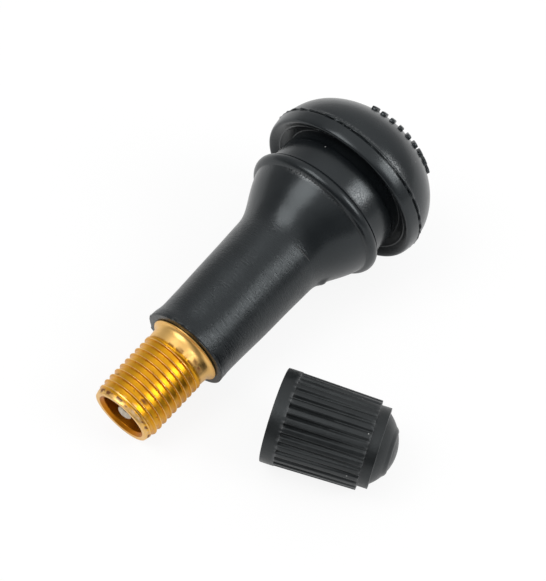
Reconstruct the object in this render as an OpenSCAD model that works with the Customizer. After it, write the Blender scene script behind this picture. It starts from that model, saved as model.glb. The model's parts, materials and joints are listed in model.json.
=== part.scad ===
// Rubber snap-in tyre valve lying on its side, with its dust cap taken off beside it.
// Lengths are in millimetres. Along the valve, "at" values count from the brass mouth.

/* [Rubber body] */
// Radius of the rubber stem at its narrowest, near the brass
stem_r = 5.0; // [4.8:0.05:5.4]
// Radius of the rubber stem's end collar, next to the brass
stem_end_r = 5.18; // [5.1:0.02:5.5]
// Bevel on the rubber's end next to the brass
stem_bevel = 0.24; // [0.1:0.02:0.4]
// Distance from the rubber's end to the narrowest place of the stem
stem_waist = 2.1; // [1.5:0.1:3]
// Length of the rubber stem up to the bell
stem_l = 14.85; // [14:0.05:18]
// Growth of the stem's radius over its length
stem_taper = 0.43; // [0.2:0.01:0.6]
// Length of the bell between stem and shoulder bead
bell_l = 6.3; // [5:0.1:8]
// Length of the bell's concave start
bell_ease = 2.1; // [1.5:0.1:2.5]
// Length of the bell's convex end
bell_crown = 2.9; // [2:0.1:3.5]
// Rise of the bell's convex end for each millimetre of length
bell_rise = 0.345; // [0.25:0.005:0.45]
// Radius of the shoulder bead at its crest
shoulder_r = 8.68; // [8.4:0.02:9]
// Rounding radius of the shoulder bead
bead_round = 0.85; // [0.7:0.05:1]
// Radius of the groove that sits in the rim's hole
groove_r = 7.9; // [7.4:0.05:8.1]
// Width of the groove from the bead to the head's underside
groove_w = 3.65; // [3:0.05:5]
// Radius of the fillet between groove and head
groove_fillet = 1.0; // [0.6:0.05:1.2]
// Radius of the sealing lip under the head
lip_r = 9.14; // [9.1:0.02:9.3]
// Height of the sealing lip below the head's underside
lip_h = 0.28; // [0.15:0.01:0.4]
// Thickness of the sealing lip at its edge
lip_w = 0.14; // [0.1:0.01:0.2]
// Rounding radius of the head's lower edge
head_edge = 0.4; // [0.2:0.05:0.5]
// Radius of the head at the mould's parting line
head_r = 10.42; // [10.3:0.02:11.2]
// Height of the head's side below the parting line
head_side = 1.6; // [1.3:0.05:2.2]
// Draft of the head's side, as a loss of radius towards the underside
head_draft = 0.15; // [0.05:0.01:0.25]
// Step from the parting line in to the dome
head_step = 0.2; // [0.1:0.01:0.3]
// Height of the dome above the parting line
dome_h = 7.7; // [6.5:0.1:9]
// Radius of the air hole in the dome's centre
air_hole_r = 1.5; // [1.2:0.05:2]

/* [Brass stem] */
// Length of brass that shows in front of the rubber
brass_show = 10.35; // [9.8:0.05:11.5]
// Major radius of the outer thread
thread_r = 3.85; // [3.75:0.01:3.9]
// Radius of the outer edge at the mouth
tip_r = 3.5; // [3.35:0.05:3.65]
// Length of the thread's lead chamfer
lead_l = 1.3; // [0.8:0.1:1.6]
// Radius of the polished neck where the thread ends
neck_r = 3.7; // [3.6:0.02:3.72]
// Growth of the neck's radius towards the flare
neck_taper = 0.1; // [0.05:0.01:0.15]
// Length of the polished neck
neck_l = 0.95; // [0.6:0.05:1.2]
// Radius of the flared edge that meets the rubber
flare_r = 4.32; // [4.1:0.02:4.5]
// Length of the flare
flare_l = 0.9; // [0.7:0.05:1.2]
// Thickness of the flare's edge
flare_edge = 0.2; // [0.15:0.01:0.3]
// Radius of the shank bonded inside the rubber
shank_r = 4.06; // [3.9:0.02:4.1]
// Number of ring grooves that key the shank into the rubber
key_rings = 4; // [2:1:5]
// Depth of each ring groove
key_depth = 0.4; // [0.2:0.05:0.6]
// Width of each ring groove
key_w = 1.1; // [0.8:0.1:1.4]
// Radius of the flange at the shank's inner end
foot_r = 4.3; // [4.2:0.02:4.5]
// Thickness of that flange
foot_l = 1.2; // [0.8:0.1:2]
// Radius of the mouth's edge
mouth_r = 2.91; // [2.8:0.01:3.1]
// Radius of the bore that the core screws into
bore_r = 2.65; // [2.6:0.01:2.75]
// Radius of the chamber behind the seat
chamber_r = 1.95; // [1.9:0.01:2.05]
// Radius of the air passage behind the chamber
passage_r = 1.2; // [0.9:0.05:1.4]
// Thickness of the brass wall behind the chamber
chamber_wall = 3.5; // [2.5:0.1:4]

/* [Valve core] */
// Depth of the pin's tip below the mouth
pin_recess = 0.3; // [0.1:0.05:0.6]
// Radius of the pin's head
pin_head_r = 0.95; // [0.8:0.05:1.1]
// Length of the pin's head
pin_head_l = 0.8; // [0.6:0.05:1]
// Rounding of the pin's tip
pin_round = 0.27; // [0.15:0.01:0.35]
// Radius of the pin's shank
pin_r = 0.575; // [0.5:0.025:0.6]
// Travel of the pin when it is pressed
pin_stroke = 1.6; // [1.2:0.1:1.8]
// Length of the plug's bridge, which the core tool turns
bridge_l = 1.7; // [1.4:0.1:2]
// Radius of the bridge across its round ends
bridge_r = 1.9; // [1.7:0.05:2.1]
// Thickness of the bridge between its two flats
bridge_w = 1.9; // [1.7:0.05:2.1]
// Length of the plug's threaded part
plug_l = 2.4; // [2.3:0.1:3]
// Thickness of the plug's web under the bridge
plug_web = 0.5; // [0.4:0.05:0.6]
// Radius of the hole through the plug's threaded part
plug_hole_r = 1.3; // [1.2:0.05:1.4]
// Length of the plug's lip that holds the barrel's swivel flange
swivel_lip_l = 0.7; // [0.5:0.05:0.9]
// Thickness of the barrel's swivel flange
swivel_l = 0.5; // [0.4:0.05:0.6]
// Radius of the barrel's swivel flange
swivel_r = 1.85; // [1.8:0.01:1.95]
// Radius of the barrel's neck inside the plug's lip
barrel_neck_r = 1.45; // [1.42:0.01:1.5]
// Radius of the barrel's tube
barrel_r = 1.78; // [1.7:0.01:1.8]
// Radius of the barrel's bore
barrel_bore_r = 1.25; // [1.2:0.01:1.27]
// Length of the barrel's tube behind the seal
tube_l = 6.0; // [5:0.1:7]
// Thickness of the barrel's end wall
barrel_floor = 0.6; // [0.4:0.05:0.8]
// Length of the tapered seal
seal_l = 2.0; // [1.6:0.1:2.4]
// Radius of the seat at its wide end
seat_r = 2.5; // [2.4:0.02:2.58]
// Thickness of the flange in front of the seal
seal_flange_l = 0.35; // [0.25:0.05:0.5]
// Thickness of the pin's spring collar
collar_l = 0.35; // [0.25:0.05:0.5]
// Radius of the pin's spring collar
collar_r = 1.05; // [0.95:0.01:1.1]
// Diameter of the spring's wire
wire_d = 0.26; // [0.2:0.02:0.3]
// Number of turns of the spring
spring_turns = 9; // [6:1:11]
// Thickness of the plunger's rubber face
face_l = 0.78; // [0.6:0.02:1]
// Radius of the plunger's rubber face
face_r = 1.28; // [1.2:0.01:1.35]
// Radius of the plunger's cup
cup_r = 1.6; // [1.55:0.01:1.7]
// Thickness of the plunger cup's floor
cup_floor = 0.95; // [0.6:0.05:1.2]
// Depth of the rubber face that stands out of the cup
face_proud = 0.23; // [0.15:0.01:0.35]
// Length of the pin's riveted end
rivet_l = 0.4; // [0.3:0.05:0.6]
// Radius of the pin's riveted end
rivet_r = 0.85; // [0.75:0.05:1]

/* [Dust cap] */
// Radius of the smooth rim band
rim_r = 5.15; // [5.1:0.05:5.5]
// Bevel on the rim's edges
rim_bevel = 0.15; // [0.05:0.01:0.25]
// Length of the smooth rim band
rim_l = 1.55; // [1:0.05:2.5]
// Radius of the ribs next to the rim band
ribs_r = 5.1; // [5:0.02:5.14]
// Loss of the ribs' radius towards the dome
ribs_taper = 0.22; // [0.1:0.02:0.3]
// Length of the ribbed grip
ribs_l = 8.85; // [8.2:0.05:9.4]
// Number of ribs
rib_count = 30; // [20:1:36]
// Radius at the bottom of the ribs' valleys
valley_r = 4.66; // [4.6:0.02:4.75]
// Share of each rib's pitch taken by its crest
crest_share = 0.4; // [0.3:0.05:0.5]
// Share of each rib's pitch taken by each flank
flank_share = 0.14; // [0.1:0.02:0.2]
// Radius of the plain collar behind the ribs
collar_cap_r = 4.4; // [4.3:0.02:4.56]
// Length of the plain collar
collar_cap_l = 1.15; // [0.9:0.05:1.4]
// Radius of the dome's foot
cap_dome_r = 3.85; // [3.7:0.05:4.2]
// Height of the dome
cap_dome_h = 1.85; // [1.4:0.05:2.4]
// Depth of the cap's threaded hole
cap_hole_l = 10.2; // [9:0.1:11]
// Distance from the brass mouth to where the cap's rim lies, along the valve
cap_along = 10.5; // [6:0.1:14]
// Free space between the rubber stem and the cap's rim
cap_beside = 5.4; // [4:0.1:12]
// Direction in which the cap lies, from its rim to its dome, in degrees
cap_azimuth = -68; // [-90:1:-50]

/* [Fits] */
// Gap between faces that are bonded or pressed together
face_gap = 0.02; // [0.01:0.005:0.04]
// Radial clearance of the core's plug in its bore
plug_clear = 0.05; // [0.03:0.01:0.08]
// Clearance of pieces that swivel or slide inside the core
run_clear = 0.1; // [0.08:0.01:0.12]
// Gap between the tapered seal and its seat
seat_clear = 0.05; // [0.03:0.01:0.08]
// Clearance of the pin in the holes that air flows through
pin_clear = 0.17; // [0.12:0.01:0.2]
// Clearance of the cap's hole on the outer thread
cap_clear = 0.1; // [0.05:0.01:0.15]
// Free length left at the end of the pin's travel
stop_clear = 0.2; // [0.1:0.05:0.4]

/* [Hidden] */
$fn = 96;
cut = 0.5;

// Places along the brass, counted from the mouth
flare_at = brass_show - flare_edge - flare_l;
thread_end = flare_at - neck_l;

// Places along the core, counted from the mouth
plug_at = pin_recess + pin_head_l + pin_stroke + stop_clear;
plug_thread_at = plug_at + bridge_l;
plug_end = plug_thread_at + plug_l;
swivel_at = plug_end - swivel_lip_l - run_clear - swivel_l;
seal_flange_at = plug_end + run_clear;
seal_at = seal_flange_at + seal_flange_l + face_gap;
seal_end = seal_at + seal_l;
tube_at = seal_end + face_gap;
barrel_end = tube_at + tube_l;
collar_at = plug_end;
spring_at = collar_at + collar_l + face_gap;
spring_end = barrel_end - barrel_floor - face_gap;
face_at = barrel_end + face_gap;
cup_at = face_at + face_proud;
cup_floor_at = face_at + face_l + face_gap;
cup_end = cup_floor_at + cup_floor;
rivet_at = cup_end + face_gap;
pin_end = rivet_at + rivet_l;
chamber_end = pin_end + pin_stroke + stop_clear;
shank_end = chamber_end + chamber_wall;
pin_hole_r = pin_r + pin_clear;
seal_floor_r = (barrel_bore_r + barrel_r) / 2;

// Places along the rubber, counted from the mouth
bell_at = brass_show + stem_l;
bead_at = bell_at + bell_l + bead_round;
bead_from = 168;
bead_to = 35;
groove_at = bead_at + bead_round * cos(bead_to);
under_at = groove_at + groove_w;
parting_at = under_at + head_side;
groove_mid = (groove_at + under_at) / 2;
dome_r = head_r - head_step;

// How the valve lies: the head's parting line and one more ring touch the surface
rest_rings = [[0, tip_r], [lead_l, thread_r], [brass_show, stem_end_r], [bead_at, shoulder_r]];
lie_angle = min([for (p = rest_rings) atan2(head_r - p[1], parting_at - p[0])]);
floor_z = (parting_at - groove_mid) * sin(lie_angle) - head_r * cos(lie_angle);

// How the cap lies: on its rim and on the far end of its ribs
ribs_end_r = ribs_r - ribs_taper;
cap_tilt = atan2(rim_r - ribs_end_r, rim_l + ribs_l);
cap_x = (cap_along - groove_mid) * cos(lie_angle);
cap_y = -(stem_r + cap_beside + rim_r * abs(cos(cap_azimuth)));
cap_z = floor_z + rim_r * cos(cap_tilt);

// Points of an arc about c from angle a to angle b
function arc(c, r, a, b, n = 8) =
    [for (i = [0:n]) let (t = a + (b - a) * i / n) [c[0] + r * cos(t), c[1] + r * sin(t)]];

// Points of a cubic curve with the end points p and s and the handles q and r
function curve(p, q, r, s, n = 14) =
    [for (i = [0:n]) let (t = i / n, u = 1 - t)
        p * u * u * u + 3 * q * u * u * t + 3 * r * u * t * t + s * t * t * t];

// Solid turned from an outline of [place along the axis, radius] points
module turned(outline) {
    rotate_extrude() polygon([for (p = outline) [p[1], p[0]]]);
}

// Carries a piece from the mouth, with its axis upright, to the lying valve
module lying() {
    rotate([0, -lie_angle, 0])
        translate([-groove_mid, 0, 0])
            rotate([0, 90, 0])
                children();
}

// Outline of the shank from a place in front of the rubber, with its ring grooves, grown by a gap
function shank_outline(from, gap) =
    let (pitch = (shank_end - foot_l - brass_show) / key_rings)
    concat(
        [[from, 0], [from, shank_r + gap]],
        [for (i = [0:key_rings - 1]) each
            let (mid = brass_show + pitch * (i + 0.5))
            [[mid - key_w / 2 + gap, shank_r + gap], [mid - key_w / 2 + gap, shank_r - key_depth + gap],
             [mid + key_w / 2 - gap, shank_r - key_depth + gap], [mid + key_w / 2 - gap, shank_r + gap]]],
        [[shank_end - foot_l - gap, shank_r + gap], [shank_end - foot_l - gap, foot_r + gap],
         [shank_end + gap, foot_r + gap], [shank_end + gap, 0]]);

// Outline of the rubber from the brass to the dome's centre
function rubber_outline() =
    let (
        bead_c = [bead_at, shoulder_r - bead_round],
        bead = arc(bead_c, bead_round, bead_from, bead_to),
        bell_r = stem_r + stem_taper,
        bell_slope = stem_taper / (stem_l - stem_waist),
        edge_c = [under_at + head_edge, head_r - head_draft - head_edge],
        fillet_c = [under_at - groove_fillet, groove_r + groove_fillet]
    )
    concat(
        [[brass_show, 0], [brass_show, stem_end_r - stem_bevel], [brass_show + stem_bevel, stem_end_r]],
        curve([brass_show + 2 * stem_bevel, stem_end_r], [brass_show + stem_waist / 2, stem_end_r],
              [brass_show + stem_waist / 2, stem_r], [brass_show + stem_waist, stem_r], 6),
        curve([bell_at, bell_r], [bell_at + bell_ease, bell_r + bell_ease * bell_slope],
              bead[0] - [bell_crown, bell_crown * bell_rise], bead[0]),
        bead,
        [[groove_at + lip_w, groove_r]],
        arc(fillet_c, groove_fillet, -90, 0),
        [[under_at - lip_h, lip_r - lip_w], [under_at - lip_h, lip_r], [under_at + lip_h, lip_r + lip_w],
         [under_at + lip_h, edge_c[1] - head_edge]],
        arc(edge_c, head_edge, 180, 90, 6),
        [[parting_at, head_r]],
        [for (a = [0:5:90]) [parting_at + dome_h * sin(a), dome_r * cos(a)]]);

module rubber_body() {
    color([0.12, 0.13, 0.13]) lying() difference() {
        turned(rubber_outline());
        turned(shank_outline(brass_show - cut, face_gap));
        translate([0, 0, shank_end - cut]) cylinder(r = air_hole_r, h = parting_at + dome_h);
    }
}

// Brass insert: threaded front, polished neck and flare, and the shank in the rubber
module brass_stem() {
    flare_from_r = neck_r + neck_taper;
    flare_h = flare_r - flare_from_r;
    color([0.85, 0.6, 0.2]) lying() difference() {
        union() {
            turned(concat(
                [[0, 0], [0, tip_r], [lead_l, thread_r], [thread_end, thread_r], [thread_end, neck_r]],
                [for (a = [0:10:90]) [flare_at + flare_l * sin(a), flare_from_r + flare_h * (1 - cos(a))]],
                [[brass_show - face_gap, flare_r], [brass_show - face_gap, 0]]));
            turned(shank_outline(brass_show - flare_edge, 0));
        }
        turned([[-cut, 0], [-cut, mouth_r + cut], [mouth_r - bore_r, bore_r], [seal_at, bore_r],
                [seal_at, seat_r], [seal_end, chamber_r], [chamber_end, chamber_r],
                [chamber_end, passage_r], [shank_end + cut, passage_r], [shank_end + cut, 0]]);
    }
}

// Screwed plug: a two-flat bridge over a short threaded ring that swivels on the barrel
module core_plug() {
    plug_r = bore_r - plug_clear;
    color([0.8, 0.62, 0.3]) lying() difference() {
        union() {
            translate([0, 0, plug_thread_at]) cylinder(r = plug_r, h = plug_l);
            intersection() {
                translate([0, 0, plug_at]) cylinder(r = bridge_r, h = bridge_l + plug_web);
                translate([-bridge_r, -bridge_w / 2, 0]) cube([2 * bridge_r, bridge_w, plug_end]);
            }
        }
        translate([0, 0, plug_thread_at + plug_web]) cylinder(r = plug_hole_r, h = plug_l);
        for (side = [-1, 1]) intersection() {
            translate([0, 0, plug_at]) cylinder(r = plug_hole_r, h = bridge_l + plug_l);
            translate([-plug_r, side * plug_r - plug_r + side * bridge_w / 2, 0])
                cube([2 * plug_r, 2 * plug_r, plug_end]);
        }
        translate([0, 0, plug_at - cut]) cylinder(r = pin_hole_r, h = plug_end);
        translate([0, 0, swivel_at - run_clear])
            cylinder(r = swivel_r + run_clear, h = swivel_l + 2 * run_clear);
        translate([0, 0, swivel_at]) cylinder(r = barrel_neck_r + run_clear, h = plug_end);
    }
}

// Turned barrel: swivel flange, neck, seal seat and the tube that holds the spring
module core_barrel() {
    color([0.78, 0.6, 0.3]) lying() turned([
        [swivel_at, barrel_bore_r], [swivel_at, swivel_r],
        [swivel_at + swivel_l, swivel_r], [swivel_at + swivel_l, barrel_neck_r],
        [seal_flange_at, barrel_neck_r], [seal_flange_at, barrel_r],
        [seal_flange_at + seal_flange_l, barrel_r], [seal_flange_at + seal_flange_l, seal_floor_r],
        [tube_at, seal_floor_r], [tube_at, barrel_r],
        [barrel_end, barrel_r], [barrel_end, pin_hole_r],
        [barrel_end - barrel_floor, pin_hole_r], [barrel_end - barrel_floor, barrel_bore_r]]);
}

// Tapered ring that seals the barrel in the brass seat
module barrel_seal() {
    seal_in_r = seal_floor_r + face_gap;
    color([0.55, 0.12, 0.1]) lying() turned([
        [seal_at, seal_in_r], [seal_at, seat_r - seat_clear],
        [seal_end, chamber_r - seat_clear], [seal_end, seal_in_r]]);
}

// Coil of round wire about the axis, as one swept tube with flat ends
module core_spring() {
    sides = 6;
    steps = 14 * spring_turns;
    wire_r = wire_d / 2;
    coil_r = (pin_r + barrel_bore_r) / 2;
    coil_from = spring_at + wire_r;
    coil_l = spring_end - spring_at - wire_d;
    points = [for (i = [0:steps]) for (j = [0:sides - 1])
        let (turn = 360 * spring_turns * i / steps, side = 360 * j / sides, r = coil_r + wire_r * cos(side))
        [r * cos(turn), r * sin(turn), coil_from + coil_l * i / steps + wire_r * sin(side)]];
    walls = [for (i = [0:steps - 1]) for (j = [0:sides - 1])
        let (k = (j + 1) % sides)
        [i * sides + j, (i + 1) * sides + j, (i + 1) * sides + k, i * sides + k]];
    ends = [[for (j = [0:sides - 1]) j], [for (j = [sides - 1:-1:0]) steps * sides + j]];
    color([0.7, 0.7, 0.72]) lying() polyhedron(points, concat(walls, ends));
}

// Steel pin: head at the mouth, spring collar and riveted inner end
module core_pin() {
    color([0.78, 0.77, 0.74]) lying() turned([
        [pin_recess, 0], [pin_recess, pin_head_r - pin_round], [pin_recess + pin_round, pin_head_r],
        [pin_recess + pin_head_l, pin_head_r], [pin_recess + pin_head_l, pin_r],
        [collar_at, pin_r], [collar_at, collar_r], [collar_at + collar_l, collar_r],
        [collar_at + collar_l, pin_r], [rivet_at, pin_r], [rivet_at, rivet_r],
        [pin_end, rivet_r - rivet_l / 2], [pin_end, 0]]);
}

// Brass cup on the pin's inner end, which carries the plunger's rubber face
module plunger_cup() {
    cup_hole_r = pin_r + face_gap;
    color([0.8, 0.62, 0.3]) lying() turned([
        [cup_at, face_r + face_gap], [cup_at, cup_r], [cup_end, cup_r], [cup_end, cup_hole_r],
        [cup_floor_at, cup_hole_r], [cup_floor_at, face_r + face_gap]]);
}

// Rubber face that closes the barrel's end
module plunger_seal() {
    color([0.15, 0.15, 0.15]) lying() turned([
        [face_at, pin_r + face_gap], [face_at, face_r],
        [face_at + face_l, face_r], [face_at + face_l, pin_r + face_gap]]);
}

// Star outline of the grip, with straight flanks between crests and valleys
module rib_outline() {
    pitch = 360 / rib_count;
    crest = pitch * crest_share / 2;
    foot = crest + pitch * flank_share;
    corners = [[-foot, valley_r], [-crest, rim_r], [crest, rim_r], [foot, valley_r]];
    polygon([for (i = [0:rib_count - 1]) for (p = corners)
        p[1] * [cos(pitch * i + p[0]), sin(pitch * i + p[0])]]);
}

// Moulded cap: smooth rim band, ribbed grip, plain collar and dome over a threaded hole
module cap() {
    ribs_to = rim_l + ribs_l;
    dome_at = ribs_to + collar_cap_l;
    dome_round = (cap_dome_r * cap_dome_r + cap_dome_h * cap_dome_h) / (2 * cap_dome_h);
    dome_centre = [dome_at + cap_dome_h - dome_round, 0];
    hole_r = thread_r + cap_clear;
    color([0.1, 0.1, 0.1])
        translate([cap_x, cap_y, cap_z]) rotate([0, 0, cap_azimuth]) rotate([0, 90 + cap_tilt, 0])
            difference() {
                union() {
                    turned([[0, 0], [0, rim_r - rim_bevel], [rim_bevel, rim_r], [rim_l, rim_r], [rim_l, 0]]);
                    intersection() {
                        linear_extrude(ribs_to) rib_outline();
                        turned([[rim_l / 2, 0], [rim_l / 2, ribs_r], [rim_l, ribs_r],
                                [ribs_to, ribs_end_r], [ribs_to, 0]]);
                    }
                    turned(concat(
                        [[rim_l / 2, 0], [rim_l / 2, collar_cap_r], [dome_at, collar_cap_r]],
                        arc(dome_centre, dome_round, asin(cap_dome_r / dome_round), 0)));
                }
                turned([[-cut, 0], [-cut, hole_r + rim_bevel + cut], [rim_bevel, hole_r],
                        [cap_hole_l, hole_r], [cap_hole_l + rim_bevel, 0]]);
            }
}

rubber_body();
brass_stem();
core_plug();
core_barrel();
barrel_seal();
core_spring();
core_pin();
plunger_cup();
plunger_seal();
cap();
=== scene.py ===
import json

import bpy
import numpy as np
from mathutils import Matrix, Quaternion, Vector


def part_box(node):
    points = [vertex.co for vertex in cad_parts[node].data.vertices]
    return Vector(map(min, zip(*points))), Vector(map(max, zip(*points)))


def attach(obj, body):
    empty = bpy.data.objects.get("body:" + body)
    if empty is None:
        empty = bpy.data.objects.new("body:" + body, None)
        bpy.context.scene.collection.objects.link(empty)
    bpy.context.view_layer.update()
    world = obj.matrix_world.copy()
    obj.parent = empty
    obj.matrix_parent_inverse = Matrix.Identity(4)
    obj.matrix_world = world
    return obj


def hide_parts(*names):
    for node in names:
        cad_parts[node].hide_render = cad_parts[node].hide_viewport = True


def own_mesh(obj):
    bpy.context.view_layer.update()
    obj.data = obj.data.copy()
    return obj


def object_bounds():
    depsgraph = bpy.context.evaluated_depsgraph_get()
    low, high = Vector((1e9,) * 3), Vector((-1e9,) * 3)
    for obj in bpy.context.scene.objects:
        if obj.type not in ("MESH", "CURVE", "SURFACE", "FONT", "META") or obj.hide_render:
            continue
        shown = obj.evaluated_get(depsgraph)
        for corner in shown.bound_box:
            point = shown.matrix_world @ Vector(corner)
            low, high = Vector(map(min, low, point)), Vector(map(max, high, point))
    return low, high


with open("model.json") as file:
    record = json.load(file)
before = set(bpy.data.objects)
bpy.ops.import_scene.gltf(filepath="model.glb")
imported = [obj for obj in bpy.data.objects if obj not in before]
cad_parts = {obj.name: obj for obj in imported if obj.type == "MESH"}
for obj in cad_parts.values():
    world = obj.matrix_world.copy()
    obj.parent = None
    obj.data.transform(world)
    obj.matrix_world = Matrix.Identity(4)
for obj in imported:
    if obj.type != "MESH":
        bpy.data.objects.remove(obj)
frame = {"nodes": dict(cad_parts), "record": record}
cad_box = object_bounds()

# Brass stem
# The valve's metal insert, turned from brass bar: a threaded front for the cap, a polished neck that
# flares against the rubber, and a ringed shank that the rubber grips. Its bore takes the core.
# Sizes are in millimetres, and places along the valve are from the brass mouth; MM turns them into metres.
MM = 0.001
THREAD_MID = 4.8
TIP_R = 3.5
LEAD_L = 1.3
THREAD_R = 3.85
THREAD_PITCH = 0.794
THREAD_DEPTH = 0.22
THREAD_CREST = 0.03
THREAD_FLANK = 0.16
THREAD_END = 8.3
NECK_R = 3.7
NECK_TAPER = 0.1
FLARE_AT = 9.25
FLARE_L = 0.9
FLARE_R = 4.32
BRASS_SHOW = 10.35
SHANK_R = 4.06
SHANK_END = 22.98
KEY_RINGS = 4
KEY_W = 1.1
KEY_DEPTH = 0.4
FOOT_R = 4.3
FOOT_L = 1.2
MOUTH_R = 3.03
BORE_R = 2.65
BORE_PITCH = 0.7056
BORE_DEPTH = 0.16
BORE_THREAD_AT = 2.4
SEAT_R = 2.5
SEAT_AT = 7.47
SEAT_END = 9.47
CHAMBER_R = 1.95
CHAMBER_END = 19.48
PASSAGE_R = 1.2
FACE_GAP = 0.02
BRASS_COLUMNS = 168
BRASS_EASE = 0.06
ROW_STEP = 0.5
THREAD_ROW_STEP = 0.035
RUN_OUT = 0.45
LEAD_FROM = 0.2
DIRT_W = 0.12
MOUTH_SHADE = 0.06
LATHE_GRAIN = (16000.0, 500.0, 500.0)
BRASS_DARK = (0.63, 0.285, 0.010, 1)
BRASS_LIGHT = (0.72, 0.35, 0.018, 1)
BRASS_CREST = (0.82, 0.50, 0.16, 1)
BRASS_RUBBED = (0.86, 0.68, 0.46, 1)
BRASS_DIRT = (0.16, 0.055, 0.016, 1)
# Painted shade: the darker brown of the bore and the mouth's chamfer stands for the shade inside the mouth
BRASS_INSIDE_SHADE = (0.50, 0.17, 0.007, 1)
# Each stained or rubbed place: along and length in millimetres, turn and spread in degrees, strength
STAINS = (
    (1.95, 0.26, 327.5, 9.0, 1.0),
    (0.35, 0.25, 44.0, 9.0, 0.9),
    (2.65, 0.22, 45.0, 8.0, 0.9),
    (0.45, 0.22, 287.0, 6.0, 0.9),
    (8.85, 0.30, 299.0, 10.0, 0.9),
    (7.40, 0.30, 296.0, 6.0, 0.8),
    (8.45, 0.16, 335.0, 60.0, 0.9),
    (8.75, 0.16, 338.0, 9.0, 0.7),
    (9.00, 0.20, 312.0, 12.0, 0.6),
    (4.80, 0.20, 350.0, 7.0, 0.7),
    (0.30, 0.18, 28.0, 12.0, 1.3),
    (0.45, 0.12, 5.0, 25.0, 1.0),
    (0.25, 0.14, 345.0, 14.0, 0.9),
    (0.40, 0.16, 300.0, 9.0, 1.3),
    (0.35, 0.18, 262.0, 9.0, 1.3),
)
RUBBED = (
    (0.35, 0.16, 0.0, 110.0, 0.8),
    (0.95, 0.10, 345.0, 60.0, 0.5),
)

thread_mount = next(mount for mount in frame["record"]["mounts"] if mount["name"] == "stem_thread")
INWARD = -np.array(thread_mount["axis"], float)
INWARD /= np.linalg.norm(INWARD)
ACROSS = np.array([0.0, 1.0, 0.0])
UPWARD = np.cross(INWARD, ACROSS)
MOUTH = np.array(thread_mount["pos_m"], float) - INWARD * THREAD_MID * MM
VALVE = (MOUTH, INWARD, UPWARD, ACROSS)


def turned_points(axis, along, radius, turn):
    """Each point is the axis' start, plus along times its direction, plus radius times
    (cosine of turn times its first side + sine of turn times its second side), from millimetres."""
    start, ahead, first, second = axis
    along, radius, turn = np.broadcast_arrays(along, radius, turn)
    out = np.cos(turn)[..., None] * first + np.sin(turn)[..., None] * second
    return start + MM * (along[..., None] * ahead + radius[..., None] * out)


def ring_faces(rows, columns, loop):
    """Four-sided faces between each ring of points and the next; a loop joins the last ring to the first."""
    row = np.arange(rows if loop else rows - 1)[:, None]
    column = np.arange(columns)[None, :]
    after, beside = (row + 1) % rows, (column + 1) % columns
    corners = [row * columns + column, row * columns + beside,
               after * columns + beside, after * columns + column]
    return np.stack(np.broadcast_arrays(*corners), -1).reshape(-1, 4)


def end_fans(rows, columns):
    """Triangles that close an open grid of rings: a fan from the first ring to the point after the grid,
    and a fan from the last ring to the point after that. A triangle repeats its end point as a fourth."""
    column = np.arange(columns)
    beside = (column + 1) % columns
    last_ring = (rows - 1) * columns
    near, far = np.full(columns, rows * columns), np.full(columns, rows * columns + 1)
    near_fan = np.stack([beside, column, near, near], -1)
    far_fan = np.stack([last_ring + column, last_ring + beside, far, far], -1)
    return np.concatenate([near_fan, far_fan])


def outward(points, faces):
    """The faces, turned round if the volume that they close, a sum of signed tetrahedra, is negative. A
    triangle, whose last two corners are the same, swaps its first two."""
    a, b, c, d = (points[faces[:, k]] for k in range(4))
    volume = (a * np.cross(b, c)).sum() + (a * np.cross(c, d)).sum()
    if volume > 0:
        return faces
    three = faces[:, 2:3] == faces[:, 3:4]
    return np.where(three, faces[:, [1, 0, 2, 3]], faces[:, ::-1])


def add_piece(name, points, faces, material, crease=40):
    """Mesh object at the origin from points and faces, smooth apart from edges sharper than crease degrees.
    A face of four corners whose last two are the same becomes a triangle."""
    mesh = bpy.data.meshes.new(name)
    three = faces[:, 2] == faces[:, 3]
    mesh.from_pydata(points.tolist(), [], faces[~three].tolist() + faces[three][:, :3].tolist())
    mesh.polygons.foreach_set("use_smooth", np.ones(len(mesh.polygons), bool))
    mesh.set_sharp_from_angle(angle=np.radians(crease))
    mesh.materials.append(material)
    piece = bpy.data.objects.new(name, mesh)
    bpy.context.scene.collection.objects.link(piece)
    return piece


def add_turned(name, axis, along, radius, material, loop=True, crease=40):
    """Closed piece from rings of points about an axis. An outline that isn't a loop starts and ends on
    the axis, where a single point closes each end with a fan of triangles."""
    rows, columns = radius.shape
    turn = np.linspace(0, 2 * np.pi, columns, endpoint=False)
    rings = turned_points(axis, along, radius, turn)
    points = rings.reshape(-1, 3)
    faces = ring_faces(rows, columns, loop)
    if not loop:
        points = np.concatenate([points, rings[[0, -1]].mean(1)])
        faces = np.concatenate([faces, end_fans(rows, columns)])
    return add_piece(name, points, outward(points, faces), material, crease)


def eased(outline, ease, loop=True, count=4, bend=20, most=0.45):
    """Outline with each corner of more than bend degrees replaced by a quadratic curve that starts and ends
    at ease from it, or at a share, most, of the side where that is nearer. A gentler bend keeps its point,
    and so do the ends of an open outline."""
    outline = np.asarray(outline, float)
    before = np.roll(outline, 1, 0) - outline
    after = np.roll(outline, -1, 0) - outline
    span_before = np.linalg.norm(before, axis=1, keepdims=True)
    span_after = np.linalg.norm(after, axis=1, keepdims=True)
    start = outline + before * np.minimum(ease / span_before, most)
    end = outline + after * np.minimum(ease / span_after, most)
    t = np.linspace(0, 1, count)[None, :, None]
    curves = (1 - t) ** 2 * start[:, None] + 2 * t * (1 - t) * outline[:, None] + t * t * end[:, None]
    onward = -(before * after).sum(1, keepdims=True) / (span_before * span_after)
    sharp = onward < np.cos(np.radians(bend))
    if not loop:
        sharp[[0, -1]] = False
    curves = np.where(sharp[:, :, None], curves, outline[:, None])
    return curves[sharp | (np.arange(count) == 0)]


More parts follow.
